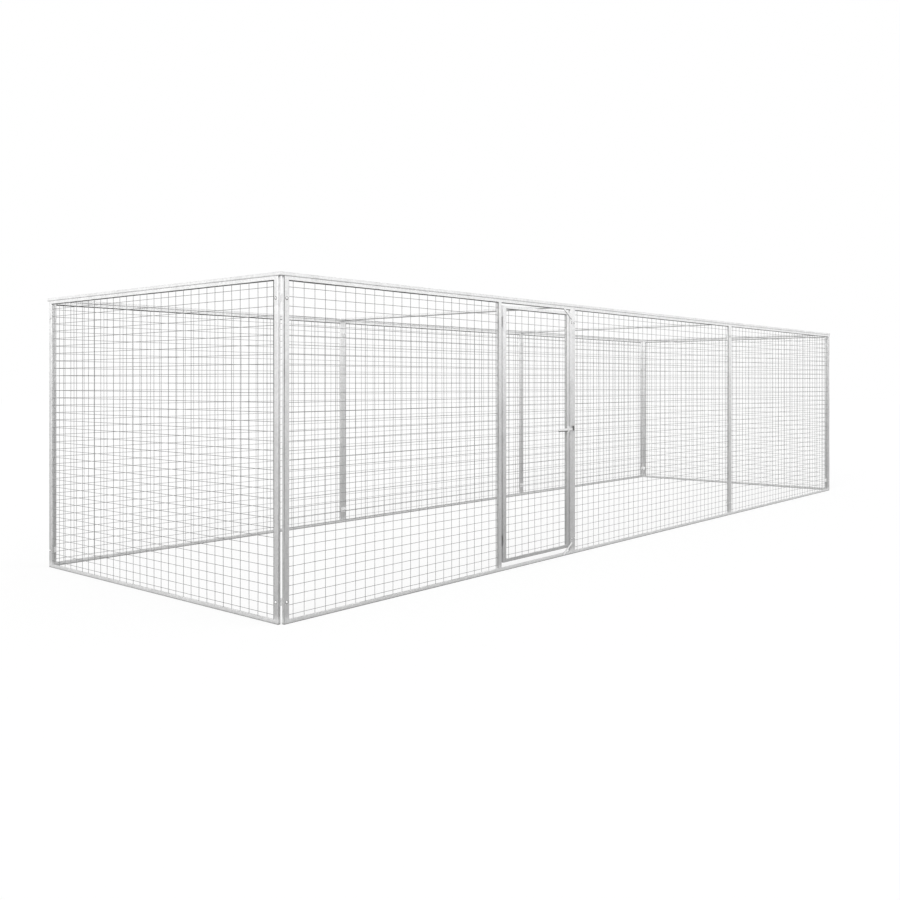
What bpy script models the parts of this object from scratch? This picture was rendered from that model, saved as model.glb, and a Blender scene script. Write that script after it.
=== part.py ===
"""Walk-in cat enclosure: bolted bays of galvanised tube frames with wire mesh, and a door.

Every wall panel is built lying against its own outer face: x runs along the wall, y goes from
the outer face inwards and z goes up. A matrix then stands it in its place. The model's origin is
on the ground under the middle of the run, x runs along the front wall and y goes to the back.
"""
import math

import bmesh
import bpy
from mathutils import Matrix, Vector

# Panels
BAYS = 3
PANEL_WIDTH = 2.7
END_WIDTH = 2.4
PANEL_HEIGHT = 1.8
POST_WIDTH = 0.030
RAIL_HEIGHT = 0.020
TUBE_DEPTH = 0.020
TUBE_ROUND = 0.0018
GAP = 0.0003
CORNER_GAP = 0.005

# Wire mesh, drawn with fewer and wider gaps than the real 75 by 50 mm ones
WIRE = 0.003
NET_SET_BACK = 0.003
NET_GAP_ACROSS = 0.53
NET_GAP_UP = 0.35

# Bolts and the plates that join the panels
BOLT_RADIUS = 0.004
BOLT_CLEARANCE = 0.0006
BOLT_HEAD_RADIUS = 0.0075
BOLT_HEAD_HEIGHT = 0.0035
BOLT_DOME = 0.55
NUT_RADIUS = 0.0073
NUT_HEIGHT = 0.006
BOLT_TIP = 0.002
BOLT_INSET = 0.115
BOLT_SIDES = 8
PLATE_THICKNESS = 0.003
PLATE_HEIGHT = 0.040
PLATE_MARGIN = 0.002

# Door leaf
DOOR_WIDTH = 0.785
HINGE_SIDE_GAP = 0.022
LATCH_SIDE_GAP = 0.020
DOOR_TOP_GAP = 0.018
DOOR_BOTTOM_GAP = 0.033
STRAP_ACROSS = 0.110
STRAP_DROP = 0.075
STRAP_WIDTH = 0.016
STRAP_THICKNESS = 0.003

# Hinges
HINGE_TOP_INSET = 0.110
HINGE_BOTTOM_INSET = 0.146
BARREL_RADIUS = 0.008
BARREL_HALF = 0.034
PIN_RADIUS = 0.0042
PIN_LENGTH = 0.026
PIN_CLEARANCE = 0.0005
LUG_THICKNESS = 0.006
ROUND_SIDES = 14

# Latch
LATCH_HEIGHT = 0.91
HANDLE_LENGTH = 0.131
TONGUE_LENGTH = 0.061
LEVER_WIDTH = 0.016
LEVER_THICKNESS = 0.005
HUB_RADIUS = 0.0135
PIVOT_PLATE_HEIGHT = 0.045
PIVOT_PLATE_MARGIN = 0.001
LATCH_RUNNING = 0.0005
KEEPER_MARGIN = 0.0015
KEEPER_WIDTH = 0.018
KEEPER_LIP = 0.024
KEEPER_THICKNESS = 0.003

# Sizes that follow from the ones above
WALL_LENGTH = BAYS * PANEL_WIDTH + (BAYS - 1) * GAP
FRONT_Y = -(END_WIDTH / 2 + CORNER_GAP + TUBE_DEPTH)
END_X = WALL_LENGTH / 2 + CORNER_GAP + TUBE_DEPTH
INNER_CORNER = Vector((END_X - TUBE_DEPTH, -FRONT_Y - TUBE_DEPTH, 0))
ROOF_TOP = PANEL_HEIGHT + GAP + TUBE_DEPTH
ROOF_DEPTH = -2 * FRONT_Y
ROOF_WIDTH = (2 * END_X - (BAYS - 1) * GAP) / BAYS
BOLT_HEIGHTS = (BOLT_INSET, PANEL_HEIGHT - BOLT_INSET)

LATCH_POST_LEFT = PANEL_WIDTH - POST_WIDTH
DOOR_RIGHT = LATCH_POST_LEFT - LATCH_SIDE_GAP
DOOR_LEFT = DOOR_RIGHT - DOOR_WIDTH
JAMB_RIGHT = DOOR_LEFT - HINGE_SIDE_GAP
JAMB_LEFT = JAMB_RIGHT - POST_WIDTH
DOOR_BOTTOM = RAIL_HEIGHT + DOOR_BOTTOM_GAP
DOOR_TOP = PANEL_HEIGHT - RAIL_HEIGHT - DOOR_TOP_GAP
DOOR_HEIGHT = DOOR_TOP - DOOR_BOTTOM
HINGE_X = JAMB_RIGHT + HINGE_SIDE_GAP / 2
HINGE_Y = TUBE_DEPTH - LUG_THICKNESS / 2
PIVOT_X = DOOR_RIGHT - POST_WIDTH / 2

GALVANISED = ("galvanised_tube", (0.72, 0.74, 0.75), 0.85, 0.42)
WIRE_FINISH = ("galvanised_wire", (0.66, 0.67, 0.68), 0.85, 0.45)
PLATED = ("zinc_plated", (0.80, 0.80, 0.78), 0.9, 0.3)


def clear_scene():
    for thing in list(bpy.data.objects):
        bpy.data.objects.remove(thing, do_unlink=True)


def material(name, color, metallic, roughness):
    found = bpy.data.materials.get(name)
    if found:
        return found
    made = bpy.data.materials.new(name)
    made.use_nodes = True
    shader = made.node_tree.nodes["Principled BSDF"]
    shader.inputs["Base Color"].default_value = (*color, 1)
    shader.inputs["Metallic"].default_value = metallic
    shader.inputs["Roughness"].default_value = roughness
    return made


def add_object(name, bm, place, finish, smooth=False):
    """Turn a bmesh into an object that stands at a place, with its own copy of a finish."""
    bmesh.ops.recalc_face_normals(bm, faces=bm.faces)
    mesh = bpy.data.meshes.new(name)
    bm.to_mesh(mesh)
    bm.free()
    kind, color, metallic, roughness = finish
    mesh.materials.append(material(f"{kind}_{name}", color, metallic, roughness))
    if smooth:
        mesh.shade_smooth()
        mesh.set_sharp_from_angle(angle=math.radians(35))
    made = bpy.data.objects.new(name, mesh)
    bpy.context.scene.collection.objects.link(made)
    made.matrix_world = place
    return made


def as_helper(thing):
    thing.hide_render = True
    thing.display_type = "WIRE"
    return thing


def boolean(target, helper, operation):
    """Cut or join a helper shape, which is then left out of the model."""
    as_helper(helper)
    step = target.modifiers.new(f"{operation.title()} {helper.name}", "BOOLEAN")
    step.operation = operation
    step.solver = "EXACT"
    step.object = helper


def rounded_edges(target, width):
    """Round the edges that run along the tubes, marked by mark_tube_edges."""
    step = target.modifiers.new("Rounded edges", "BEVEL")
    step.width = width
    step.segments = 1
    step.limit_method = "WEIGHT"


def mark_tube_edges(bm, across):
    """Mark the sharp edges, but not those that run along the given axis."""
    bmesh.ops.recalc_face_normals(bm, faces=bm.faces)
    weight = bm.edges.layers.float.new("bevel_weight_edge")
    for edge in bm.edges:
        run = edge.verts[1].co - edge.verts[0].co
        if edge.calc_face_angle(0) > 1 and abs(run[across]) < TUBE_ROUND:
            edge[weight] = 1


def box_mesh(low, high):
    bm = bmesh.new()
    low, high = Vector(low), Vector(high)
    size = high - low
    place = Matrix.Translation((low + high) / 2) @ Matrix.Diagonal((*size, 1))
    bmesh.ops.create_cube(bm, size=1, matrix=place)
    return bm


def raise_faces(bm, depth):
    """Give flat faces in the XZ plane a thickness along y."""
    grown = bmesh.ops.extrude_face_region(bm, geom=bm.faces[:])
    moved = [part for part in grown["geom"] if isinstance(part, bmesh.types.BMVert)]
    bmesh.ops.translate(bm, verts=moved, vec=(0, depth, 0))


def outline_mesh(points, depth):
    """Extrude an outline of (x, z) points along y."""
    bm = bmesh.new()
    bm.faces.new([bm.verts.new((x, 0, z)) for x, z in points])
    raise_faces(bm, depth)
    return bm


def ring_mesh(width, height):
    """Two posts and two rails welded into a rectangle."""
    bm = bmesh.new()
    outer = [bm.verts.new((x, 0, z)) for x, z in rectangle(0, width, 0, height)]
    inner = [bm.verts.new((x, 0, z)) for x, z in rectangle(*frame_window(width, height))]
    for corner in range(4):
        after = (corner + 1) % 4
        bm.faces.new((outer[corner], outer[after], inner[after], inner[corner]))
    raise_faces(bm, TUBE_DEPTH)
    mark_tube_edges(bm, across=1)
    return bm


def rectangle(left, right, bottom, top):
    return [(left, bottom), (right, bottom), (right, top), (left, top)]


def frame_window(width, height):
    """Left, right, bottom and top of the opening inside a frame."""
    return POST_WIDTH, width - POST_WIDTH, RAIL_HEIGHT, height - RAIL_HEIGHT


def net_mesh(width, height, gap_across, gap_up):
    """Welded wires as one flat lattice, with a wire along each edge."""
    columns = max(1, round(width / gap_across))
    rows = max(1, round(height / gap_up))
    pitch_x = (width - WIRE) / columns
    pitch_z = (height - WIRE) / rows
    bm = bmesh.new()
    loops = [rectangle(0, width, 0, height)]
    for column in range(columns):
        for row in range(rows):
            left = column * pitch_x + WIRE
            bottom = row * pitch_z + WIRE
            loops.append(rectangle(left, left + pitch_x - WIRE, bottom, bottom + pitch_z - WIRE))
    for loop in loops:
        corners = [bm.verts.new((x, 0, z)) for x, z in loop]
        for corner in range(4):
            bm.edges.new((corners[corner], corners[(corner + 1) % 4]))
    bmesh.ops.triangle_fill(bm, edges=bm.edges[:], use_beauty=True, normal=(0, -1, 0))
    raise_faces(bm, WIRE)
    return bm


def turned_mesh(profile, sides):
    """Spin a profile of (radius, height) points about z; both ends lie on the axis."""
    bm = bmesh.new()
    rings = []
    for radius, height in profile:
        if radius == 0:
            rings.append([bm.verts.new((0, 0, height))] * sides)
            continue
        turns = [2 * math.pi * (side + 0.5) / sides for side in range(sides)]
        rings.append([bm.verts.new((radius * math.cos(t), radius * math.sin(t), height)) for t in turns])
    for lower, upper in zip(rings, rings[1:]):
        for side in range(sides):
            after = (side + 1) % sides
            corners = [lower[side], lower[after], upper[after], upper[side]]
            bm.faces.new(list(dict.fromkeys(corners)))
    return bm


def arc(center, radius, start, end, steps):
    """Points along an arc in the XZ plane, angles in degrees."""
    points = []
    for step in range(steps + 1):
        turn = math.radians(start + (end - start) * step / steps)
        points.append((center[0] + radius * math.cos(turn), center[1] + radius * math.sin(turn)))
    return points


def turn_z(degrees):
    return Matrix.Rotation(math.radians(degrees), 4, "Z")


def turn_x(degrees):
    return Matrix.Rotation(math.radians(degrees), 4, "X")


# Places of the panels

def front_place(bay):
    return Matrix.Translation((-WALL_LENGTH / 2 + bay * (PANEL_WIDTH + GAP), FRONT_Y, 0))


def back_place(bay):
    right = -WALL_LENGTH / 2 + bay * (PANEL_WIDTH + GAP) + PANEL_WIDTH
    return Matrix.Translation((right, -FRONT_Y, 0)) @ turn_z(180)


def end_place(side):
    """The side is -1 for the left end and 1 for the right end."""
    return Matrix.Translation((side * END_X, -side * END_WIDTH / 2, 0)) @ turn_z(90 * side)


def roof_place(bay):
    left = -END_X + bay * (ROOF_WIDTH + GAP)
    return Matrix.Translation((left, FRONT_Y, ROOF_TOP)) @ turn_x(-90)


# Panels

def drill_posts(frame, place, width):
    """Drill the bolt holes through both posts, front to back."""
    for x in (POST_WIDTH / 2, width - POST_WIDTH / 2):
        for z in BOLT_HEIGHTS:
            spot = place @ Matrix.Translation((x, 0, z)) @ turn_x(-90)
            drill = add_object(f"{frame.name} drill {x:.3f} {z:.3f}", drill_mesh(), spot, GALVANISED)
            boolean(frame, drill, "DIFFERENCE")


def drill_mesh():
    """A bolt hole's cutter along z, longer than any tube is deep."""
    hole = BOLT_RADIUS + BOLT_CLEARANCE
    low, high = -TUBE_DEPTH, 2 * TUBE_DEPTH
    return turned_mesh([(0, low), (hole, low), (hole, high), (0, high)], BOLT_SIDES)


def panel_frame(name, place, width, height):
    frame = add_object(name, ring_mesh(width, height), place, GALVANISED)
    rounded_edges(frame, TUBE_ROUND)
    return frame


def panel_net(name, place, left, right, bottom, top):
    """Mesh that fills a window of a frame, close to the outer face."""
    corner = (left + GAP, NET_SET_BACK, bottom + GAP)
    lattice = net_mesh(right - left - 2 * GAP, top - bottom - 2 * GAP, NET_GAP_ACROSS, NET_GAP_UP)
    return add_object(name, lattice, place @ Matrix.Translation(corner), WIRE_FINISH)


def wall_panel(name, place, width):
    frame = panel_frame(f"{name}_frame", place, width, PANEL_HEIGHT)
    drill_posts(frame, place, width)
    panel_net(f"{name}_mesh", place, *frame_window(width, PANEL_HEIGHT))


def door_panel(name, place):
    """The panel whose right third is a doorway, with a jamb tube beside it."""
    frame = panel_frame(f"{name}_frame", place, PANEL_WIDTH, PANEL_HEIGHT)
    drill_posts(frame, place, PANEL_WIDTH)
    left, _, bottom, top = frame_window(PANEL_WIDTH, PANEL_HEIGHT)
    jamb = box_mesh((JAMB_LEFT, 0, bottom + GAP), (JAMB_RIGHT, TUBE_DEPTH, top - GAP))
    add_object("door_jamb", jamb, place, GALVANISED)
    panel_net(f"{name}_mesh", place, left, JAMB_LEFT, bottom, top)


# Bolted plates

def bolt_mesh(grip):
    """A cup-head bolt along z: the head lies below zero, the nut above the grip."""
    return turned_mesh([
        (0, -GAP - BOLT_HEAD_HEIGHT),
        (BOLT_HEAD_RADIUS * BOLT_DOME, -GAP - BOLT_HEAD_HEIGHT),
        (BOLT_HEAD_RADIUS, -GAP),
        (BOLT_RADIUS, -GAP),
        (BOLT_RADIUS, grip - PLATE_THICKNESS / 2),
        (NUT_RADIUS, grip - PLATE_THICKNESS / 2),
        (NUT_RADIUS, grip + NUT_HEIGHT),
        (BOLT_RADIUS * BOLT_DOME, grip + NUT_HEIGHT + BOLT_TIP),
        (0, grip + NUT_HEIGHT + BOLT_TIP),
    ], BOLT_SIDES)


def fit_bolt(plate, place):
    """Join a bolt to its plate; the place has z pointing from the outer face inwards."""
    grip = TUBE_DEPTH + GAP + PLATE_THICKNESS
    bolt = add_object(f"{plate.name} bolt {len(plate.modifiers)}", bolt_mesh(grip), place, PLATED)
    boolean(plate, bolt, "UNION")


def corner_bracket(name, corner, turn, height):
    """An angle inside a corner, with a bolt through each of the two posts."""
    place = Matrix.Translation(corner + Vector((0, 0, height))) @ turn_z(turn)
    reach = CORNER_GAP + POST_WIDTH - PLATE_MARGIN
    half = PLATE_HEIGHT / 2
    inner = GAP + PLATE_THICKNESS
    section = [(GAP, GAP), (reach, GAP), (reach, inner), (inner, inner), (inner, reach), (GAP, reach)]
    bm = bmesh.new()
    bm.faces.new([bm.verts.new((x, y, -half)) for x, y in section])
    grown = bmesh.ops.extrude_face_region(bm, geom=bm.faces[:])
    moved = [part for part in grown["geom"] if isinstance(part, bmesh.types.BMVert)]
    bmesh.ops.translate(bm, verts=moved, vec=(0, 0, PLATE_HEIGHT))
    bracket = add_object(name, bm, place, PLATED)
    post = CORNER_GAP + POST_WIDTH / 2
    fit_bolt(bracket, place @ Matrix.Translation((post, -TUBE_DEPTH, 0)) @ turn_x(-90))
    fit_bolt(bracket, place @ Matrix.Translation((-TUBE_DEPTH, post, 0)) @ turn_z(-90) @ turn_x(-90))


def joint_plate(name, place, height):
    """A flat plate inside a wall that bolts two posts side by side; x = 0 is between them."""
    half_width = POST_WIDTH - PLATE_MARGIN
    half_height = PLATE_HEIGHT / 2
    low = (-half_width, TUBE_DEPTH + GAP, height - half_height)
    high = (half_width, TUBE_DEPTH + GAP + PLATE_THICKNESS, height + half_height)
    plate = add_object(name, box_mesh(low, high), place, PLATED)
    for side in (-1, 1):
        spot = Matrix.Translation((side * (POST_WIDTH + GAP) / 2, 0, height))
        fit_bolt(plate, place @ spot @ turn_x(-90))


# Door

def door_leaf(place):
    leaf = place @ Matrix.Translation((DOOR_LEFT, 0, DOOR_BOTTOM))
    frame = panel_frame("door_frame", leaf, DOOR_WIDTH, DOOR_HEIGHT)
    panel_net("door_mesh", leaf, *frame_window(DOOR_WIDTH, DOOR_HEIGHT))
    drill = add_object("door pivot drill", drill_mesh(), pivot_place(place), GALVANISED)
    boolean(frame, drill, "DIFFERENCE")


def door_strap(name, place, rail_z, downwards):
    """A flat bar across an opening's corner, from the rail to the latch post."""
    post_x = LATCH_POST_LEFT + POST_WIDTH / 2
    rail_end = Vector((post_x - STRAP_ACROSS, 0, rail_z))
    post_end = Vector((post_x, 0, rail_z + downwards * STRAP_DROP))
    along = post_end - rail_end
    tilt = Matrix.Rotation(-math.atan2(along.z, along.x), 4, "Y")
    half = STRAP_WIDTH / 2
    bar = box_mesh((0, -GAP - STRAP_THICKNESS, -half), (along.length, -GAP, half))
    add_object(name, bar, place @ Matrix.Translation(rail_end) @ tilt, GALVANISED)


def hinge(name, place, height):
    """A weld-on lift-off hinge: the pin half on the jamb, the socket half on the leaf."""
    axis = place @ Matrix.Translation((HINGE_X, HINGE_Y, height))
    reach = HINGE_SIDE_GAP / 2 - GAP
    half_lug = LUG_THICKNESS / 2
    pin_half = add_object(f"{name}_post_half", turned_mesh([
        (0, -BARREL_HALF),
        (BARREL_RADIUS, -BARREL_HALF),
        (BARREL_RADIUS, -GAP / 2),
        (PIN_RADIUS, -GAP / 2),
        (PIN_RADIUS, PIN_LENGTH - BOLT_TIP),
        (PIN_RADIUS / 2, PIN_LENGTH),
        (0, PIN_LENGTH),
    ], ROUND_SIDES), axis, PLATED, smooth=True)
    lug = box_mesh((-reach, -half_lug, -BARREL_HALF + GAP), (-PIN_RADIUS, half_lug, -3 * GAP))
    boolean(pin_half, add_object(f"{name} post lug", lug, axis, PLATED), "UNION")
    socket_half = add_object(f"{name}_door_half", turned_mesh([
        (0, GAP / 2),
        (BARREL_RADIUS, GAP / 2),
        (BARREL_RADIUS, BARREL_HALF),
        (0, BARREL_HALF),
    ], ROUND_SIDES), axis, PLATED, smooth=True)
    lug = box_mesh((PIN_RADIUS, -half_lug, 3 * GAP), (reach, half_lug, BARREL_HALF - GAP))
    boolean(socket_half, add_object(f"{name} door lug", lug, axis, PLATED), "UNION")
    bore = PIN_RADIUS + PIN_CLEARANCE
    depth = PIN_LENGTH + BOLT_TIP
    socket = turned_mesh([(0, -depth), (bore, -depth), (bore, depth), (0, depth)], ROUND_SIDES)
    boolean(socket_half, add_object(f"{name} socket", socket, axis, PLATED), "DIFFERENCE")


# Latch

def pivot_place(place):
    """The latch's pivot, with z pointing inwards from the leaf's outer face."""
    return place @ Matrix.Translation((PIVOT_X, 0, LATCH_HEIGHT)) @ turn_x(-90)


def latch_pivot(place):
    """A plate on the leaf's stile with the bolt that the lever turns on."""
    half = POST_WIDTH / 2 - PIVOT_PLATE_MARGIN
    tall = PIVOT_PLATE_HEIGHT / 2
    plate_back = -GAP
    plate_front = plate_back - KEEPER_THICKNESS
    head = plate_front - LEVER_THICKNESS - 2 * LATCH_RUNNING
    nut = TUBE_DEPTH + GAP
    spot = place @ Matrix.Translation((PIVOT_X, 0, LATCH_HEIGHT))
    plate = add_object("latch_pivot", box_mesh((-half, plate_front, -tall), (half, plate_back, tall)), spot, PLATED)
    bolt = turned_mesh([
        (0, head - BOLT_HEAD_HEIGHT),
        (BOLT_HEAD_RADIUS * BOLT_DOME, head - BOLT_HEAD_HEIGHT),
        (BOLT_HEAD_RADIUS, head),
        (BOLT_RADIUS, head),
        (BOLT_RADIUS, nut),
        (NUT_RADIUS, nut),
        (NUT_RADIUS, nut + NUT_HEIGHT),
        (BOLT_RADIUS * BOLT_DOME, nut + NUT_HEIGHT + BOLT_TIP),
        (0, nut + NUT_HEIGHT + BOLT_TIP),
    ], BOLT_SIDES)
    boolean(plate, add_object("latch pivot bolt", bolt, pivot_place(place), PLATED), "UNION")


def latch_lever(place):
    """A flat lever: a long handle, a round hub and a tongue that lies over the post."""
    half = LEVER_WIDTH / 2
    shoulder = math.degrees(math.asin(half / HUB_RADIUS))
    outline = arc((-HANDLE_LENGTH + half, 0), half, 90, 270, 6)
    outline += arc((0, 0), HUB_RADIUS, 180 + shoulder, 360 - shoulder, 6)
    outline += arc((TONGUE_LENGTH - half / 2, -half / 2), half / 2, -90, 0, 3)
    outline += arc((TONGUE_LENGTH - half / 2, half / 2), half / 2, 0, 90, 3)
    outline += arc((0, 0), HUB_RADIUS, shoulder, 180 - shoulder, 6)
    back = -GAP - KEEPER_THICKNESS - LATCH_RUNNING
    spot = place @ Matrix.Translation((PIVOT_X, back - LEVER_THICKNESS, LATCH_HEIGHT))
    lever = add_object("latch_lever", outline_mesh(outline, LEVER_THICKNESS), spot, PLATED)
    boolean(lever, add_object("latch lever bore", drill_mesh(), pivot_place(place), PLATED), "DIFFERENCE")


def latch_keeper(place):
    """A hook on the post that the tongue drops into, bent from flat bar."""
    back = -GAP
    plate = back - KEEPER_THICKNESS
    slot = plate - LEVER_THICKNESS - 2 * LATCH_RUNNING
    front = slot - KEEPER_THICKNESS
    shelf = -LEVER_WIDTH / 2 - GAP
    low = shelf - KEEPER_THICKNESS
    section = [(back, low), (back, KEEPER_LIP), (plate, KEEPER_LIP), (plate, shelf), (slot, shelf)]
    section += [(slot, KEEPER_LIP), (front, KEEPER_LIP), (front, low)]
    left = PANEL_WIDTH - KEEPER_MARGIN - KEEPER_WIDTH
    bm = bmesh.new()
    bm.faces.new([bm.verts.new((left, y, LATCH_HEIGHT + z)) for y, z in section])
    grown = bmesh.ops.extrude_face_region(bm, geom=bm.faces[:])
    moved = [part for part in grown["geom"] if isinstance(part, bmesh.types.BMVert)]
    bmesh.ops.translate(bm, verts=moved, vec=(KEEPER_WIDTH, 0, 0))
    add_object("latch_keeper", bm, place, PLATED)


def build():
    clear_scene()
    bays = ("left", "middle", "right")
    door_panel("front_left", front_place(0))
    for bay in range(1, BAYS):
        wall_panel(f"front_{bays[bay]}", front_place(bay), PANEL_WIDTH)
    for bay in range(BAYS):
        wall_panel(f"back_{bays[bay]}", back_place(bay), PANEL_WIDTH)
        panel_frame(f"roof_{bays[bay]}_frame", roof_place(bay), ROOF_WIDTH, ROOF_DEPTH)
    wall_panel("end_left", end_place(-1), END_WIDTH)
    wall_panel("end_right", end_place(1), END_WIDTH)

    corners = (("front_left", -1, -1, 0), ("front_right", 1, -1, 90),
               ("back_right", 1, 1, 180), ("back_left", -1, 1, -90))
    for level, height in zip(("lower", "upper"), BOLT_HEIGHTS):
        for corner, side_x, side_y, turn in corners:
            spot = Vector((side_x * INNER_CORNER.x, side_y * INNER_CORNER.y, 0))
            corner_bracket(f"corner_{corner}_{level}", spot, turn, height)
        for joint in range(1, BAYS):
            shift = Matrix.Translation((PANEL_WIDTH + GAP / 2, 0, 0))
            joint_plate(f"joint_front_{joint}_{level}", front_place(joint - 1) @ shift, height)
            shift = Matrix.Translation((-GAP / 2, 0, 0))
            joint_plate(f"joint_back_{joint}_{level}", back_place(joint - 1) @ shift, height)

    front = front_place(0)
    door_leaf(front)
    door_strap("door_stop_top", front, PANEL_HEIGHT - RAIL_HEIGHT / 2, -1)
    door_strap("door_stop_bottom", front, RAIL_HEIGHT / 2, 1)
    hinge("hinge_top", front, DOOR_TOP - HINGE_TOP_INSET)
    hinge("hinge_bottom", front, DOOR_BOTTOM + HINGE_BOTTOM_INSET)
    latch_pivot(front)
    latch_lever(front)
    latch_keeper(front)


build()
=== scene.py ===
"""Looks of the walk-in cat enclosure: welded wire mesh, galvanised tube, plated fittings, studio."""

import math
import random

import bmesh
import bpy
from mathutils import Matrix, Vector

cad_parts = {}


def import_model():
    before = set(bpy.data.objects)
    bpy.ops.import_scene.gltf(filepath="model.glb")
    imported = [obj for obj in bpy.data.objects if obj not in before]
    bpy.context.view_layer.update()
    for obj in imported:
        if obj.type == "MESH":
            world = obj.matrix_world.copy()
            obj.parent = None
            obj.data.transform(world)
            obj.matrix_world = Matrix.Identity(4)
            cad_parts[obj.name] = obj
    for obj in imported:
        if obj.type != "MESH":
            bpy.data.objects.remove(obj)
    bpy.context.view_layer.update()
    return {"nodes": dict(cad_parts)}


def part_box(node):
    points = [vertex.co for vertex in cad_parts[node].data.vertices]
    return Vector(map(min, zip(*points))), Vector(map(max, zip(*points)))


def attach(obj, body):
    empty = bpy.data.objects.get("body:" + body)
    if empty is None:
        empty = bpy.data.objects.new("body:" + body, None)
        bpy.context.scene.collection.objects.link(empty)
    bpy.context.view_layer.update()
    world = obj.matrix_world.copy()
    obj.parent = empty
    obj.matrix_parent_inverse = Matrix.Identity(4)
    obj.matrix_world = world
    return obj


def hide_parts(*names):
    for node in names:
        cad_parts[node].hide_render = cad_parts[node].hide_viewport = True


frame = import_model()

# Which way each group of panels faces, seen from outside: across to the right, up and inwards
FACES = {
    "front": (Vector((1, 0, 0)), Vector((0, 0, 1)), Vector((0, 1, 0))),
    "back": (Vector((-1, 0, 0)), Vector((0, 0, 1)), Vector((0, -1, 0))),
    "end_left": (Vector((0, -1, 0)), Vector((0, 0, 1)), Vector((1, 0, 0))),
    "end_right": (Vector((0, 1, 0)), Vector((0, 0, 1)), Vector((-1, 0, 0))),
}

# Wire mesh, in metres; the first wires are measured from a frame's lower left corner
PITCH_ACROSS = 0.075
PITCH_UP = 0.050
FIRST_ACROSS = 0.030
FIRST_UP = 0.025
WIRE_DIAMETER = 0.0028
WIRE_SIDES = 6
WIRE_WELD = 0.0004
END_IN_TUBE = 0.0012

# How far a wire waves off its line, the least share of that, its points' spacing and its wave's length
BEND = 0.0007
LEAST_BEND = 0.3
BEND_STEP = 0.15
WAVE_LENGTHS = (0.5, 1.1)

# Edge rods' diameters, and from the post to the middle of the end walls' upright dark rod; light rods are
# painted highlight and dark rods painted shade along the frames' edges
LIGHT_ROD = 0.005
SIDE_ROD = 0.0036
TOP_ROD = 0.006
END_WALL_ROD = 0.0052
END_WALL_ROD_INSET = 0.0055
CORNER_ROD = 0.004

# Bolts and their washers; the washers are thin dark rings, painted shade around the bolt heads
POST_WIDTH = 0.030
BOLT_INSET = 0.115
WASHER_RADIUS = 0.0098
WASHER_HOLE = 0.0042
WASHER_THICKNESS = 0.0002
WASHER_OFF_TUBE = 0.00004
WASHER_SIDES = 16

# Door stops: their run across and down, their width and the rod on their edge
STOP_ACROSS = 0.110
STOP_DROP = 0.075
STOP_WIDTH = 0.016
STOP_EDGE = 0.0028

# Latch: the flange's length, thickness and height, its place on the lever, and the widths of the keeper's
# grey edge and of its fade to black
HANDLE_FLANGE = (0.118, 0.0044, 0.007)
HANDLE_START = 0.004
HANDLE_EDGE = 0.006
HANDLE_ROUNDING = 0.4
KEEPER_GREY_EDGE = 0.0005
KEEPER_FADE = 0.001

# Edges sharper than this many degrees stay crisp
SHARP_EDGE = 65

# Camera, fitted to the photo's 900 pixel frame
FRAME_PIXELS = 900
SENSOR = 36
FOCAL_PIXELS = 958.4
HORIZON_ROW = 382.7
EYE_FROM_CORNER = Vector((-3.184, -3.851, 1.248))
CAMERA_TURN = 49.60
CAMERA_REACH = 200

# Studio; a lamp has a strength, a softness, an azimuth and an elevation, the last three in degrees
WHITE = (1, 1, 1, 1)
WORLD_STRENGTH = 0.58
FLOOR_COLOR = (0.26, 0.26, 0.26, 1)
FLOOR_GLOW = 0.76
FLOOR_RADIUS = 60
FLOOR_SIDES = 96
FLOOR_DROP = 0.0005
LAMPS = (("key", 2.0, 35, 70, 25), ("fill", 0.7, 60, -35, 25))

# Noise in the finishes: its kind, and the part of its range that is stretched into clouds
NOISE_DETAIL = 3
NOISE_ROUGHNESS = 0.55
CLOUD_RANGE = (0.3, 0.7)

# Greys by height above the ground in metres, most of them painted light and shade as set out below;
# TONE_HEIGHT is the top of that scale
TONE_HEIGHT = 1.85
# Painted light and shade on the wall tubes: a dark line at their lowest edge as painted shade, the bottom
# rail above it lighter, darker from there to knee height and lighter towards the top as light falls from
# above, a thin painted shade line at the seam under the roof, and darker at the very top
TUBE_PAINTED_LIGHT_TONES = [
    (0.001, 0.12), (0.0035, 0.30), (0.006, 0.60), (0.02, 0.70), (0.05, 0.50), (0.3, 0.51), (0.9, 0.64),
    (1.55, 0.85), (1.785, 0.95), (1.7965, 0.95), (1.80, 0.90), (1.8035, 0.95), (1.818, 0.95), (1.82, 0.72),
]
# Painted shade on the door leaf's tubes: a dark line at their lowest edge, darker towards the ground and
# lighter towards the top
LEAF_PAINTED_SHADE_TONES = [(0.052, 0.26), (0.058, 0.42), (0.3, 0.44), (0.9, 0.60), (1.5, 0.88), (1.76, 0.95)]
# Painted shade on the roof tubes: very dark on their undersides and darker along their top edge
ROOF_PAINTED_SHADE_TONES = [(1.8004, 0.32), (1.8006, 0.80), (1.8035, 0.93), (1.818, 0.94), (1.82, 0.72)]
WIRE_TONES = [(0.3, 0.27), (1.5, 0.25)]
# Painted shade of the dark edge rods, deepest near the top under the top rails
SHADE_ROD_TONES = [(0.2, 0.40), (0.8, 0.26), (1.3, 0.12), (1.75, 0.07)]
# Painted highlight of the light edge rods
HIGHLIGHT_ROD_TONES = [(0.03, 0.72), (1.5, 0.80)]

# Greys of the keeper, from its grey edge to its black
KEEPER_TONES = [(0.0, 0.55), (1.0, 0.012)]

random.seed(7)


# Materials

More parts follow.
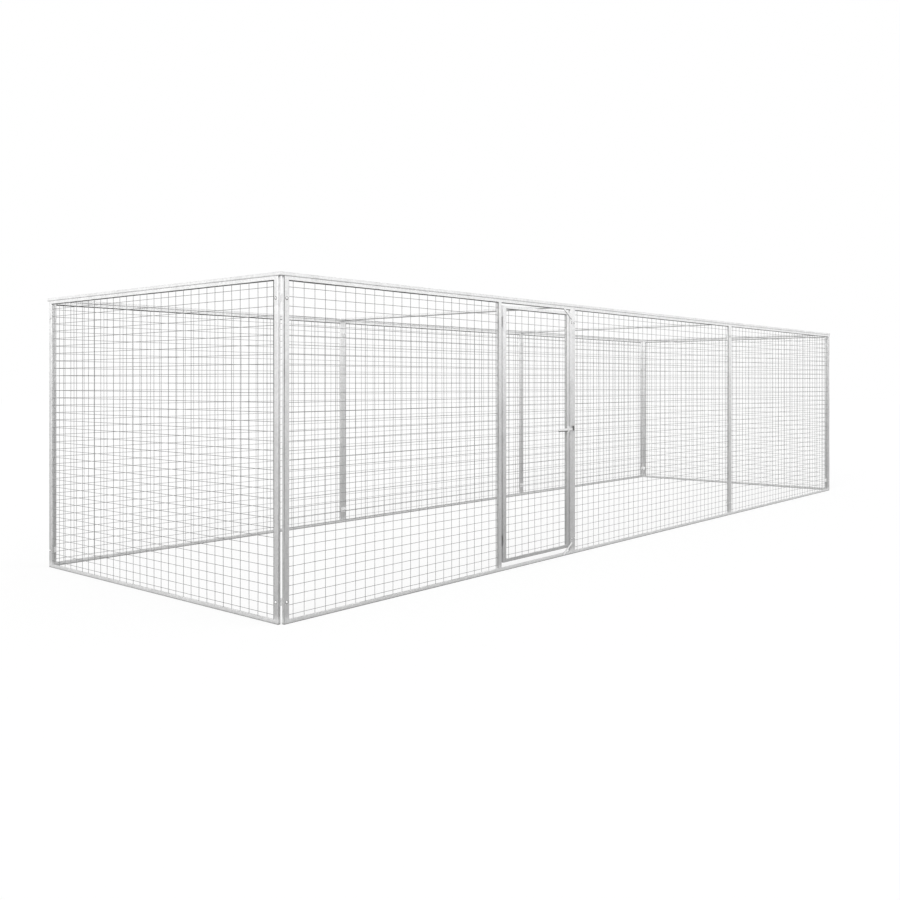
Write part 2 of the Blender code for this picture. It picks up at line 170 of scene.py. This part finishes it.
class Tree:
    """A short way to add nodes to one shader tree."""

    def __init__(self, tree):
        self.tree = tree

    def add(self, kind, **values):
        node = self.tree.nodes.new(kind)
        for key, value in values.items():
            setattr(node, key, value)
        return node

    def link(self, out, into):
        self.tree.links.new(out, into)

    def seen_or_mirrored(self):
        """1 for camera, glossy and transmission rays."""
        path = self.add("ShaderNodeLightPath")
        total = path.outputs["Is Camera Ray"]
        for ray in ("Is Glossy Ray", "Is Transmission Ray"):
            highest = self.add("ShaderNodeMath", operation="MAXIMUM")
            self.link(total, highest.inputs[0])
            self.link(path.outputs[ray], highest.inputs[1])
            total = highest.outputs["Value"]
        return total


class Finish(Tree):
    """One material, with the patterns that the finishes are mixed from."""

    def __init__(self, name):
        self.material = bpy.data.materials.new(name)
        self.material.use_nodes = True
        super().__init__(self.material.node_tree)
        self.shader = self.tree.nodes["Principled BSDF"]

    def place(self, scale=(1, 1, 1)):
        """Object coordinates, stretched."""
        coordinates = self.add("ShaderNodeTexCoord")
        mapping = self.add("ShaderNodeMapping")
        mapping.inputs["Scale"].default_value = scale
        self.link(coordinates.outputs["Object"], mapping.inputs["Vector"])
        return mapping.outputs["Vector"]

    def along(self, vector, axis):
        """One of the three coordinates."""
        split = self.add("ShaderNodeSeparateXYZ")
        self.link(vector, split.inputs["Vector"])
        return split.outputs[axis]

    def noise(self, vector, scale):
        node = self.add("ShaderNodeTexNoise")
        node.inputs["Scale"].default_value = scale
        node.inputs["Detail"].default_value = NOISE_DETAIL
        node.inputs["Roughness"].default_value = NOISE_ROUGHNESS
        self.link(vector, node.inputs["Vector"])
        return node.outputs["Fac"]

    def cells(self, vector, scale):
        """A random value for each crystal."""
        node = self.add("ShaderNodeTexVoronoi")
        node.inputs["Scale"].default_value = scale
        self.link(vector, node.inputs["Vector"])
        split = self.add("ShaderNodeSeparateColor")
        self.link(node.outputs["Color"], split.inputs["Color"])
        return split.outputs["Red"]

    def spread(self, value, low, high, start=0.0, end=1.0):
        """Stretch a value that runs from start to end so that it runs from low to high."""
        node = self.add("ShaderNodeMapRange")
        node.inputs["From Min"].default_value = start
        node.inputs["From Max"].default_value = end
        node.inputs["To Min"].default_value = low
        node.inputs["To Max"].default_value = high
        self.link(value, node.inputs["Value"])
        return node.outputs["Result"]

    def clouds(self, vector, scale, low, high):
        """Soft patches with values from low to high."""
        return self.spread(self.noise(vector, scale), low, high, *CLOUD_RANGE)

    def times(self, first, second):
        node = self.add("ShaderNodeMath", operation="MULTIPLY")
        self.link(first, node.inputs[0])
        self.link(second, node.inputs[1])
        return node.outputs["Value"]

    def greys(self, value, tones):
        """A grey for each value, blended from one stop to the next."""
        node = self.add("ShaderNodeValToRGB")
        stops = node.color_ramp.elements
        for stop, (position, tone) in ((stops[0], tones[0]), (stops[1], tones[-1])):
            stop.position = position
            stop.color = (tone, tone, tone, 1)
        for position, tone in tones[1:-1]:
            stops.new(position).color = (tone, tone, tone, 1)
        self.link(value, node.inputs["Fac"])
        return node.outputs["Color"]

    def by_height(self, vector, tones):
        """A grey for each height above the ground, in metres."""
        height = self.spread(self.along(vector, "Z"), 0, 1, 0, TONE_HEIGHT)
        return self.greys(height, [(at / TONE_HEIGHT, tone) for at, tone in tones])

    def tint(self, color):
        self.link(color, self.shader.inputs["Base Color"])

    def roughen(self, value):
        self.link(value, self.shader.inputs["Roughness"])

    def metal(self, share):
        self.shader.inputs["Metallic"].default_value = share

    def bump(self, height, strength, distance):
        node = self.add("ShaderNodeBump")
        node.inputs["Strength"].default_value = strength
        node.inputs["Distance"].default_value = distance
        self.link(height, node.inputs["Height"])
        self.link(node.outputs["Normal"], self.shader.inputs["Normal"])

    def handle_marks(self, vector):
        """The soft shine and fine marks of a part that is often touched."""
        self.roughen(self.spread(self.noise(vector, 300), 0.25, 0.45))
        self.bump(self.noise(vector, 900), 0.15, 0.0002)


def galvanised_tube(name, tones):
    """Zinc dipped tube: crystals, specks, clouds and runs over its greys by height, which are painted light
    and shade.
    """
    made = Finish(name)
    even = made.place()
    crystals = made.cells(even, 95)
    spangle = made.spread(crystals, 0.93, 1.06)
    specks = made.spread(made.cells(even, 260), 0.97, 1.03)
    clouds = made.clouds(even, 9, 0.94, 1.05)
    runs = made.clouds(made.place((40, 40, 3)), 1, 0.96, 1.03)
    tone = made.times(made.times(spangle, specks), made.times(clouds, runs))
    made.tint(made.times(tone, made.by_height(even, tones)))
    made.roughen(made.spread(crystals, 0.36, 0.56))
    made.metal(0.2)
    made.bump(made.noise(even, 160), 0.25, 0.0006)
    return made.material


def galvanised_wire(name, tones):
    """Drawn wire, dipped: cloudy greys by height, with small knots of zinc; on the dark edge rods these
    greys are painted shade, on the light ones painted highlight.
    """
    made = Finish(name)
    even = made.place()
    clouds = made.clouds(even, 7, 0.8, 1.2)
    made.tint(made.times(clouds, made.by_height(even, tones)))
    made.roughen(made.spread(made.noise(even, 220), 0.35, 0.6))
    made.metal(0.25)
    made.bump(made.noise(even, 400), 0.3, 0.0004)
    return made.material


def plated_steel(name, dark, light, metallic):
    """Plated or painted steel of the brackets, plates, washers, hinges, door stops and the latch; the
    corner plates are near-white as painted light, the washers and the handle's flange dark as painted
    shade.
    """
    made = Finish(name)
    even = made.place()
    start, end = CLOUD_RANGE
    made.tint(made.greys(made.noise(even, 60), [(start, dark), (end, light)]))
    made.metal(metallic)
    made.handle_marks(even)
    return made.material


def keeper_finish():
    """The keeper black, fading to grey on its edge towards the door leaf."""
    made = Finish("black keeper with grey edge")
    even = made.place()
    grey_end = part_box("latch_keeper")[0].x + KEEPER_GREY_EDGE
    across = made.spread(made.along(even, "X"), 0, 1, grey_end, grey_end + KEEPER_FADE)
    marks = made.clouds(even, 90, 0.8, 1.2)
    made.tint(made.times(made.greys(across, KEEPER_TONES), marks))
    made.handle_marks(even)
    return made.material


# The tubes' greys by height are painted light and shade
TUBE_FINISH = galvanised_tube("galvanised tube", TUBE_PAINTED_LIGHT_TONES)
ROOF_FINISH = galvanised_tube("galvanised roof tube", ROOF_PAINTED_SHADE_TONES)
LEAF_FINISH = galvanised_tube("galvanised door tube", LEAF_PAINTED_SHADE_TONES)
WIRE_FINISH = galvanised_wire("galvanised wire", WIRE_TONES)
# Edge rods in painted shade and in painted highlight
SHADE_ROD_FINISH = galvanised_wire("edge rod in painted shade", SHADE_ROD_TONES)
HIGHLIGHT_ROD_FINISH = galvanised_wire("edge rod in painted highlight", HIGHLIGHT_ROD_TONES)
STRAP_FINISH = plated_steel("bright flat bar", 0.80, 0.90, 0.3)
PLATE_FINISH = plated_steel("zinc plate", 0.66, 0.82, 0.6)
# Corner plates near-white as painted light against the shade of the corner recess
BRACKET_PAINTED_LIGHT_FINISH = plated_steel("corner plate painted light", 0.90, 0.97, 0.1)
# Black as painted shade under the latch handle
FLANGE_SHADE_FINISH = plated_steel("handle flange in painted shade", 0.012, 0.03, 0)
HINGE_FINISH = plated_steel("blued steel", 0.07, 0.13, 0.4)
# Washers dark as painted shade around the bolt heads
WASHER_SHADE_FINISH = plated_steel("washer ring in painted shade", 0.08, 0.16, 0.2)
KEEPER_FINISH = keeper_finish()

# Finish of the CAD nodes by how their names start; the rest are plain tube
NODE_FINISHES = (
    ("latch_keeper", KEEPER_FINISH),
    ("latch_", PLATE_FINISH),
    ("joint_", PLATE_FINISH),
    ("corner_", BRACKET_PAINTED_LIGHT_FINISH),
    ("hinge_", HINGE_FINISH),
    ("door_frame", LEAF_FINISH),
    ("door_stop", STRAP_FINISH),
    ("roof_", ROOF_FINISH),
)


def finish_for(name):
    return next((finish for start, finish in NODE_FINISHES if name.startswith(start)), TUBE_FINISH)


def finish_cad_nodes():
    for name, node in frame["nodes"].items():
        for slot in node.material_slots:
            slot.material = finish_for(name)


# Shared by wires and fittings

def points_of(geometry):
    return [part for part in geometry if isinstance(part, bmesh.types.BMVert)]


def turned(x, y, z):
    """A turn that takes the three axes to these directions."""
    return Matrix((x, y, z)).transposed().to_4x4()


def measured(node, side):
    """A wall piece's middle, and its width, height and depth seen from its side."""
    low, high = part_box(node)
    size = high - low
    width, height, depth = (abs(size.dot(direction)) for direction in FACES[side])
    return (low + high) / 2, width, height, depth


def join(bm, part):
    """Add a closed part to a piece, and free it."""
    mesh = bpy.data.meshes.new("part")
    part.to_mesh(mesh)
    part.free()
    bm.from_mesh(mesh)
    bpy.data.meshes.remove(mesh)


def add_piece(name, bm, finish, body):
    """A finished piece that rides on a body of the model."""
    mesh = bpy.data.meshes.new(name)
    bm.to_mesh(mesh)
    bm.free()
    mesh.shade_smooth()
    mesh.set_sharp_from_angle(angle=math.radians(SHARP_EDGE))
    mesh.materials.append(finish)
    made = bpy.data.objects.new(name, mesh)
    bpy.context.scene.collection.objects.link(made)
    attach(made, body)
    return made


# Wire mesh

def straight_wire(bm, length, diameter):
    """One closed wire along x from the origin, with a ring of points at every bending step."""
    turn = Matrix.Rotation(math.radians(90), 4, "Y")
    radius = diameter / 2
    made = bmesh.ops.create_circle(bm, cap_ends=True, segments=WIRE_SIDES, radius=radius, matrix=turn)
    face = made["verts"][0].link_faces[0]
    steps = max(1, round(length / BEND_STEP))
    for _ in range(steps):
        grown = bmesh.ops.extrude_face_region(bm, geom=[face])["geom"]
        face = next(part for part in grown if isinstance(part, bmesh.types.BMFace))
        bmesh.ops.translate(bm, verts=list(face.verts), vec=(length / steps, 0, 0))


def bend_slightly(verts):
    """No drawn wire is dead straight: each one waves a little in its own way."""
    wave = random.uniform(*WAVE_LENGTHS)
    phase = random.uniform(0, math.tau)
    side_phase = random.uniform(0, math.tau)
    amount = random.uniform(LEAST_BEND, 1) * BEND
    for vert in verts:
        along = vert.co.x * math.tau / wave
        vert.co.y += amount * math.sin(along + side_phase)
        vert.co.z += amount * math.sin(along + phase)


def lay_wires(bm, length, offsets, place, diameter):
    """Add a row of wires to a piece, one at each offset, moved to their place."""
    row = bmesh.new()
    straight_wire(row, length, diameter)
    pattern = list(row.verts) + list(row.edges) + list(row.faces)
    for offset in offsets:
        verts = points_of(bmesh.ops.duplicate(row, geom=pattern)["geom"])
        bend_slightly(verts)
        bmesh.ops.translate(row, verts=verts, vec=(0, offset, 0))
    bmesh.ops.delete(row, geom=points_of(pattern), context="VERTS")
    bmesh.ops.transform(row, matrix=place, verts=row.verts)
    bmesh.ops.recalc_face_normals(row, faces=row.faces)
    join(bm, row)


def lay_both_ways(bm, place, width, height, columns, rows, layer=0):
    """Upright wires and level ones, each given as offsets and a diameter, a layer off the middle."""
    offsets, diameter = columns
    upright = place @ Matrix.Translation((0, -END_IN_TUBE, -layer))
    upright = upright @ Matrix.Rotation(math.radians(90), 4, "Z")
    upright = upright @ Matrix.Scale(-1, 4, (0, 1, 0))
    lay_wires(bm, height + 2 * END_IN_TUBE, offsets, upright, diameter)
    offsets, diameter = rows
    level = place @ Matrix.Translation((-END_IN_TUBE, 0, layer))
    lay_wires(bm, width + 2 * END_IN_TUBE, offsets, level, diameter)


def offsets_between(first, pitch, length):
    count = int((length - first) / pitch) + 1
    return [first + step * pitch for step in range(count)]


def rod_inset(diameter):
    """From a tube's edge to the middle of a rod that is let into it a little."""
    return diameter / 2 - END_IN_TUBE


def wire_mesh(panel, side, body):
    """The welded mesh that fills a frame, in place of its coarse CAD lattice, and its edge rods."""
    node = f"{panel}_mesh"
    across, up, inwards = FACES[side]
    middle, width, height, _ = measured(node, side)
    corner = middle - across * width / 2 - up * height / 2
    place = Matrix.Translation(corner) @ turned(across, up, inwards)
    columns = offsets_between(FIRST_ACROSS, PITCH_ACROSS, width), WIRE_DIAMETER
    rows = offsets_between(FIRST_UP, PITCH_UP, height), WIRE_DIAMETER
    bm = bmesh.new()
    lay_both_ways(bm, place, width, height, columns, rows, WIRE_DIAMETER / 2 - WIRE_WELD / 2)
    made = add_piece(f"wires_{panel}", bm, WIRE_FINISH, body)
    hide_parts(node)
    edge_rods(panel, side, body, place, width, height)


def edge_rods(panel, side, body, place, width, height):
    """Light rods along a frame's left and lower edges as painted highlight, dark ones along its right and
    upper edges as painted shade.
    """
    side_rod, side_inset = SIDE_ROD, rod_inset(SIDE_ROD)
    if side.startswith("end"):
        side_rod, side_inset = END_WALL_ROD, END_WALL_ROD_INSET
    bright = [rod_inset(LIGHT_ROD)], LIGHT_ROD
    right = [width - side_inset], side_rod
    upper = [height - rod_inset(TOP_ROD)], TOP_ROD
    for tone, finish, columns, rows in (
            ("light", HIGHLIGHT_ROD_FINISH, bright, bright),
            ("dark", SHADE_ROD_FINISH, right, upper)):
        bm = bmesh.new()
        lay_both_ways(bm, place, width, height, columns, rows)
        add_piece(f"{tone}_rods_{panel}", bm, finish, body)


def all_wire_meshes():
    for bay in ("left", "middle", "right"):
        for side in ("front", "back"):
            wire_mesh(f"{side}_{bay}", side, "enclosure")
    for side in ("end_left", "end_right"):
        wire_mesh(side, side, "enclosure")
    wire_mesh("door", "front", "door")


def doorway_rod():
    """A dark rod under the top rail where the door leaf shuts, as painted shade under the rail."""
    low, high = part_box("front_left_mesh")
    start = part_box("door_jamb")[1].x - END_IN_TUBE
    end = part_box("front_left_frame")[1].x - POST_WIDTH + END_IN_TUBE
    place = Matrix.Translation((start, (low.y + high.y) / 2, high.z - rod_inset(TOP_ROD)))
    bm = bmesh.new()
    lay_wires(bm, end - start, [0], place, TOP_ROD)
    add_piece("dark_rod_doorway", bm, SHADE_ROD_FINISH, "enclosure")


def corner_rods():
    """A dark rod up the outer edge of each corner post of the front and back walls, as painted shade where
    the corner posts meet.
    """
    bm = bmesh.new()
    for side in ("front", "back"):
        low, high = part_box(f"{side}_left_frame")
        y = low.y + CORNER_ROD / 2 if side == "front" else high.y - CORNER_ROD / 2
        for x in (low.x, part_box(f"{side}_right_frame")[1].x):
            place = Matrix.Translation((x, y, low.z)) @ Matrix.Rotation(math.radians(-90), 4, "Y")
            lay_wires(bm, high.z - low.z, [0], place, CORNER_ROD)
    add_piece("corner_rods", bm, SHADE_ROD_FINISH, "enclosure")


# Fittings

def washer(bm, place):
    """A thin dark ring under a bolt head, painted shade around the head, with z pointing out of the post.
    """
    ring = bmesh.new()
    ends = ring.verts.new((WASHER_HOLE, 0, 0)), ring.verts.new((WASHER_RADIUS, 0, 0))
    line = ring.edges.new(ends)
    bmesh.ops.spin(
        ring, geom=[line, *ends], axis=(0, 0, 1), angle=math.tau, steps=WASHER_SIDES, use_merge=True)
    raised = points_of(bmesh.ops.extrude_face_region(ring, geom=ring.faces[:])["geom"])
    bmesh.ops.translate(ring, verts=raised, vec=(0, 0, WASHER_THICKNESS))
    bmesh.ops.transform(ring, matrix=place, verts=ring.verts)
    bmesh.ops.recalc_face_normals(ring, faces=ring.faces)
    join(bm, ring)


def all_washers():
    """One under each bolt head on the outer faces of the wall panels."""
    bm = bmesh.new()
    for name in frame["nodes"]:
        side = next((side for side in FACES if name.startswith(side) and name.endswith("_frame")), None)
        if side is None:
            continue
        across, up, inwards = FACES[side]
        middle, width, height, depth = measured(name, side)
        face = middle - inwards * (depth / 2 + WASHER_OFF_TUBE)
        for x in (POST_WIDTH / 2 - width / 2, width / 2 - POST_WIDTH / 2):
            for z in (BOLT_INSET - height / 2, height / 2 - BOLT_INSET):
                washer(bm, Matrix.Translation(face + across * x + up * z) @ turned(across, up, -inwards))
    add_piece("bolt_washers", bm, WASHER_SHADE_FINISH, "enclosure")


def stop_edges():
    """A thin dark rod along the edge of each door stop that faces the opening, as painted shade along that
    edge.
    """
    for name, downwards in (("door_stop_top", -1), ("door_stop_bottom", 1)):
        low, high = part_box(name)
        run = Vector((STOP_ACROSS, 0, downwards * STOP_DROP))
        along = run.normalized()
        out = Vector((-STOP_DROP, 0, downwards * STOP_ACROSS)).normalized()
        start = (low + high) / 2 - run / 2 + out * STOP_WIDTH / 2
        place = Matrix.Translation(start) @ turned(along, out, along.cross(out))
        bm = bmesh.new()
        lay_wires(bm, run.length, [0], place, STOP_EDGE)
        add_piece(f"{name}_edge", bm, SHADE_ROD_FINISH, "enclosure")


def handle_flange():
    """The latch handle's folded lower edge, black as painted shade under the handle."""
    low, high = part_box("latch_lever")
    long, thick, tall = HANDLE_FLANGE
    bm = bmesh.new()
    bmesh.ops.create_cube(bm, size=1, matrix=Matrix.Diagonal((long, thick, tall, 1)))
    ends = [edge for edge in bm.edges if abs(edge.verts[0].co.y - edge.verts[1].co.y) > thick / 2]
    rounding = tall * HANDLE_ROUNDING
    bmesh.ops.bevel(bm, geom=ends, offset=rounding, segments=3, affect="EDGES", profile=0.5, material=-1)
    center = Vector((low.x + long / 2 + HANDLE_START, (low.y + high.y) / 2, low.z + HANDLE_EDGE - tall / 2))
    bmesh.ops.translate(bm, verts=bm.verts, vec=center)
    add_piece("handle_flange", bm, FLANGE_SHADE_FINISH, "latch")


# Studio

def world():
    """Plain white to the eye and in reflections, and dimmer as a lamp."""
    made = bpy.data.worlds.new("studio")
    bpy.context.scene.world = made
    made.use_nodes = True
    made.node_tree.nodes.clear()
    room = Tree(made.node_tree)
    lit = room.add("ShaderNodeBackground")
    lit.inputs["Color"].default_value = WHITE
    lit.inputs["Strength"].default_value = WORLD_STRENGTH
    plain = room.add("ShaderNodeBackground")
    plain.inputs["Color"].default_value = WHITE
    mix = room.add("ShaderNodeMixShader")
    out = room.add("ShaderNodeOutputWorld")
    room.link(room.seen_or_mirrored(), mix.inputs["Fac"])
    room.link(lit.outputs["Background"], mix.inputs[1])
    room.link(plain.outputs["Background"], mix.inputs[2])
    room.link(mix.outputs["Shader"], out.inputs["Surface"])


def floor():
    """A pale floor that fades into the white backdrop and keeps the shadow."""
    bm = bmesh.new()
    bmesh.ops.create_circle(bm, cap_ends=True, segments=FLOOR_SIDES, radius=FLOOR_RADIUS)
    mesh = bpy.data.meshes.new("floor")
    bm.to_mesh(mesh)
    bm.free()
    made = bpy.data.objects.new("floor", mesh)
    made.location.z = -FLOOR_DROP
    bpy.context.scene.collection.objects.link(made)
    mesh.materials.append(floor_finish())


def floor_finish():
    """Matt, with an even glow that only the eye and reflections see."""
    made = bpy.data.materials.new("floor")
    made.use_nodes = True
    made.node_tree.nodes.clear()
    surface = Tree(made.node_tree)
    matt = surface.add("ShaderNodeBsdfDiffuse")
    matt.inputs["Color"].default_value = FLOOR_COLOR
    strength = surface.add("ShaderNodeMath", operation="MULTIPLY")
    strength.inputs[1].default_value = FLOOR_GLOW
    glow = surface.add("ShaderNodeEmission")
    glow.inputs["Color"].default_value = WHITE
    both = surface.add("ShaderNodeAddShader")
    out = surface.add("ShaderNodeOutputMaterial")
    surface.link(surface.seen_or_mirrored(), strength.inputs[0])
    surface.link(strength.outputs["Value"], glow.inputs["Strength"])
    surface.link(matt.outputs["BSDF"], both.inputs[0])
    surface.link(glow.outputs["Emission"], both.inputs[1])
    surface.link(both.outputs["Shader"], out.inputs["Surface"])
    return made


def sun(name, strength, softness, azimuth, elevation):
    """A soft distant lamp; azimuth is where it stands, from -Y towards -X."""
    light = bpy.data.lights.new(name, "SUN")
    light.energy = strength
    light.angle = math.radians(softness)
    made = bpy.data.objects.new(name, light)
    bpy.context.scene.collection.objects.link(made)
    flat = math.cos(math.radians(elevation))
    turn = math.radians(azimuth)
    towards = Vector((-math.sin(turn) * flat, -math.cos(turn) * flat, math.sin(math.radians(elevation))))
    made.rotation_euler = towards.to_track_quat("Z", "Y").to_euler()


def camera():
    """Level, with its eye measured from the ground under the roof's near corner."""
    data = bpy.data.cameras.new("camera")
    data.sensor_width = SENSOR
    data.lens = FOCAL_PIXELS / FRAME_PIXELS * SENSOR
    data.shift_y = (HORIZON_ROW - FRAME_PIXELS / 2) / FRAME_PIXELS
    data.clip_end = CAMERA_REACH
    made = bpy.data.objects.new("camera", data)
    bpy.context.scene.collection.objects.link(made)
    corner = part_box("roof_left_frame")[0]
    made.location = Vector((corner.x, corner.y, 0)) + EYE_FROM_CORNER
    made.rotation_euler = (math.radians(90), 0, -math.radians(CAMERA_TURN))
    bpy.context.scene.camera = made


finish_cad_nodes()
all_wire_meshes()
doorway_rod()
corner_rods()
all_washers()
stop_edges()
handle_flange()
world()
floor()
for lamp in LAMPS:
    sun(*lamp)
camera()
bpy.context.scene.view_settings.view_transform = "Standard"
